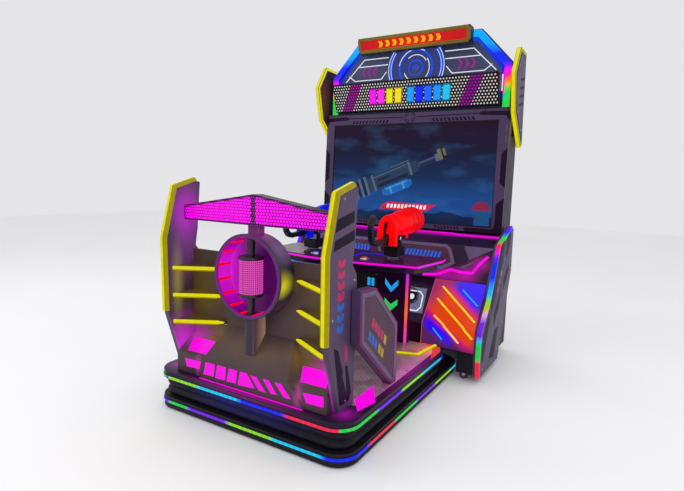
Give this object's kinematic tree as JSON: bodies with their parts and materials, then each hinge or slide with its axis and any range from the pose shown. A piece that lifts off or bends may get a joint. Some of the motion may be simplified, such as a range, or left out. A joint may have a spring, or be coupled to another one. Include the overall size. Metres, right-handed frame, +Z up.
{
  "type": "light gun cabinet",
  "caption": "Two-player arcade light gun cabinet: lit display cabinet with a screen, and a tilting platform with a backrest, table and mounted guns.",
  "frame": {"origin": "on the floor at the middle of the whole machine", "axes": "+Z up, +Y from the players towards the screen, +X to the players' right"},
  "size_m": [1.724, 2.304, 2.5],
  "materials": {
    "laminate": "dark matt laminate over board",
    "base_steel": "black powder coat",
    "motion_tray": "black powder coat with a light strip round the side",
    "bezel_panel": "printed slate panel",
    "screen": "dark glass, lit picture",
    "console_panel": "dark satin moulding",
    "recess": "satin moulding",
    "header_shell": "black satin moulding",
    "header_light": "lit diffuser, changing colour along its length",
    "header_panel": "printed panel",
    "speaker_shell": "black satin, perforated front",
    "sign_panel": "red lightbox",
    "computer_case": "bare sheet steel",
    "drive_steel": "machined steel",
    "drive_motor": "blue enamel on castings",
    "bellows_rubber": "black rubber skirt",
    "wing_panel": "dark slate moulding",
    "wing_lightstrip": "lit diffuser, changing colour along its length",
    "neon_face": "translucent moulding lit from behind",
    "ear_panel": "dark satin moulding",
    "deck_plate": "dark coated deck with a tread plate",
    "backrest_panel": "slate satin moulding",
    "backrest_light": "lit yellow diffuser",
    "magenta_light": "lit magenta diffuser behind a mesh",
    "table_panel": "dark gloss moulding",
    "column_panel": "dark gloss laminate over board",
    "coin_steel": "black powder coat",
    "caster_steel": "zinc plated pressing",
    "caster_wheel": "dark red rubber wheel",
    "button_lens": "translucent blue button",
    "gun_mount": "black paint",
    "gun_left_shell": "blue gloss shroud with black grips",
    "gun_right_shell": "red gloss shroud with black grips",
    "trigger_plastic": "black"
  },
  "bodies": {
    "cabinet": {"cabinet_shell": "laminate", "base_frame": "base_steel", "bezel": "bezel_panel", "monitor": "screen", "console": "console_panel", "recess_panel": "recess", "arch_frame": "header_shell", "arch_light": "header_light", "hud_panel": "header_panel", "speaker_box": "speaker_shell", "sign": "sign_panel", "computer": "computer_case", "tray": "motion_tray", "pivot_post": "drive_steel", "bellows": "bellows_rubber", "pitch_motor": "drive_motor", "roll_motor": "drive_motor", "side_wing_left": "wing_panel", "side_wing_right": "wing_panel", "wing_light_left": "wing_lightstrip", "wing_light_right": "wing_lightstrip", "neon_panel_left": "neon_face", "neon_panel_right": "neon_face", "ear_left": "ear_panel", "ear_right": "ear_panel"},
    "rear_door": {"rear_door": "laminate"},
    "gimbal": {"gimbal_cross": "drive_steel"},
    "platform": {"deck": "deck_plate", "back_wall": "backrest_panel", "trunk": "backrest_panel", "ring_housing": "backrest_panel", "ring_drum": "magenta_light", "crossbar": "magenta_light", "gun_table": "table_panel", "table_column": "column_panel", "upright_left": "backrest_panel", "upright_right": "backrest_panel", "upright_light_left": "backrest_light", "upright_light_right": "backrest_light", "shield_left": "backrest_panel", "shield_right": "backrest_panel"},
    "coin_door": {"coin_door": "coin_steel"},
    "pitch_crank": {"pitch_crank": "drive_steel"},
    "pitch_rod": {"pitch_rod": "drive_steel"},
    "roll_crank": {"roll_crank": "drive_steel"},
    "roll_rod": {"roll_rod": "drive_steel"},
    "start_button_left": {"start_button_left": "button_lens"},
    "gun_yoke_left": {"gun_yoke_left": "gun_mount"},
    "gun_left": {"gun_left": "gun_left_shell"},
    "trigger_left": {"trigger_left": "trigger_plastic"},
    "caster_fork_left": {"caster_fork_left": "caster_steel"},
    "front_wheel_left": {"front_wheel_left": "caster_wheel"},
    "rear_wheel_left": {"rear_wheel_left": "caster_wheel"},
    "start_button_right": {"start_button_right": "button_lens"},
    "gun_yoke_right": {"gun_yoke_right": "gun_mount"},
    "gun_right": {"gun_right": "gun_right_shell"},
    "trigger_right": {"trigger_right": "trigger_plastic"},
    "caster_fork_right": {"caster_fork_right": "caster_steel"},
    "front_wheel_right": {"front_wheel_right": "caster_wheel"},
    "rear_wheel_right": {"rear_wheel_right": "caster_wheel"}
  },
  "joints": [
    {"name": "rear_door_hinge", "type": "hinge", "parent": "cabinet", "child": "rear_door", "pos_m": [-0.312, 1.152, 0.7], "axis": [0, 0, 1], "range_deg": [0, 110]},
    {"name": "platform_pitch", "type": "hinge", "parent": "cabinet", "child": "gimbal", "pos_m": [0, -0.449, 0.12], "axis": [1, 0, 0], "range_deg": [-2.5, 2.5], "deforming": ["bellows"]},
    {"name": "platform_roll", "type": "hinge", "parent": "gimbal", "child": "platform", "pos_m": [0, -0.449, 0.12], "axis": [0, 1, 0], "range_deg": [-2.5, 2.5]},
    {"name": "pitch_crank_turn", "type": "hinge", "parent": "cabinet", "child": "pitch_crank", "pos_m": [0, -0.869, 0.08], "axis": [1, 0, 0], "range_deg": [-21, 21]},
    {"name": "pitch_rod_turn", "type": "hinge", "parent": "pitch_crank", "child": "pitch_rod", "pos_m": [0, -0.929, 0.08], "axis": [1, 0, 0], "range_deg": [-21, 21]},
    {"name": "roll_crank_turn", "type": "hinge", "parent": "cabinet", "child": "roll_crank", "pos_m": [0.42, -0.449, 0.08], "axis": [0, 1, 0], "range_deg": [-21, 21]},
    {"name": "roll_rod_turn", "type": "hinge", "parent": "roll_crank", "child": "roll_rod", "pos_m": [0.48, -0.449, 0.08], "axis": [0, 1, 0], "range_deg": [-21, 21]},
    {"name": "coin_door_hinge", "type": "hinge", "parent": "platform", "child": "coin_door", "pos_m": [-0.16, 0.1216, 0.5], "axis": [0, 0, 1], "range_deg": [-100, 0]},
    {"name": "start_button_press_left", "type": "slide", "parent": "platform", "child": "start_button_left", "axis": [0, 0, -1], "range_m": [0, 0.004], "stiffness_N_per_m": 400, "springref_m": -0.002},
    {"name": "gun_yaw_left", "type": "hinge", "parent": "platform", "child": "gun_yoke_left", "pos_m": [-0.319, 0.005, 0.85], "axis": [0, 0, 1], "range_deg": [-35, 35]},
    {"name": "gun_pitch_left", "type": "hinge", "parent": "gun_yoke_left", "child": "gun_left", "pos_m": [-0.319, 0.005, 0.965], "axis": [1, 0, 0], "range_deg": [-18, 12]},
    {"name": "trigger_pull_left", "type": "hinge", "parent": "gun_left", "child": "trigger_left", "pos_m": [-0.319, -0.31559, 1.07691], "axis": [-1, 0, 0], "range_deg": [0, 12], "stiffness_Nm_per_rad": 0.6, "springref_deg": -11.46},
    {"name": "caster_swivel_left", "type": "hinge", "parent": "cabinet", "child": "caster_fork_left", "pos_m": [-0.76, 0.318, 0.112], "axis": [0, 0, 1], "continuous": true},
    {"name": "front_wheel_spin_left", "type": "hinge", "parent": "caster_fork_left", "child": "front_wheel_left", "pos_m": [-0.742, 0.318, 0.032], "axis": [0, 1, 0], "continuous": true},
    {"name": "rear_wheel_spin_left", "type": "hinge", "parent": "cabinet", "child": "rear_wheel_left", "pos_m": [-0.76, 1.06, 0.032], "axis": [1, 0, 0], "continuous": true},
    {"name": "start_button_press_right", "type": "slide", "parent": "platform", "child": "start_button_right", "axis": [0, 0, -1], "range_m": [0, 0.004], "stiffness_N_per_m": 400, "springref_m": -0.002},
    {"name": "gun_yaw_right", "type": "hinge", "parent": "platform", "child": "gun_yoke_right", "pos_m": [0.319, 0.005, 0.85], "axis": [0, 0, 1], "range_deg": [-35, 35]},
    {"name": "gun_pitch_right", "type": "hinge", "parent": "gun_yoke_right", "child": "gun_right", "pos_m": [0.319, 0.005, 0.965], "axis": [1, 0, 0], "range_deg": [-18, 12]},
    {"name": "trigger_pull_right", "type": "hinge", "parent": "gun_right", "child": "trigger_right", "pos_m": [0.319, -0.31559, 1.07691], "axis": [-1, 0, 0], "range_deg": [0, 12], "stiffness_Nm_per_rad": 0.6, "springref_deg": -11.46},
    {"name": "caster_swivel_right", "type": "hinge", "parent": "cabinet", "child": "caster_fork_right", "pos_m": [0.76, 0.318, 0.112], "axis": [0, 0, 1], "continuous": true},
    {"name": "front_wheel_spin_right", "type": "hinge", "parent": "caster_fork_right", "child": "front_wheel_right", "pos_m": [0.742, 0.318, 0.032], "axis": [0, 1, 0], "continuous": true},
    {"name": "rear_wheel_spin_right", "type": "hinge", "parent": "cabinet", "child": "rear_wheel_right", "pos_m": [0.76, 1.06, 0.032], "axis": [1, 0, 0], "continuous": true}
  ],
  "couplings": [
    {"joint": "pitch_crank_turn", "follows": "platform_pitch", "ratio": 8},
    {"joint": "pitch_rod_turn", "follows": "platform_pitch", "ratio": -8},
    {"joint": "roll_crank_turn", "follows": "platform_roll", "ratio": 8},
    {"joint": "roll_rod_turn", "follows": "platform_roll", "ratio": -8}
  ]
}
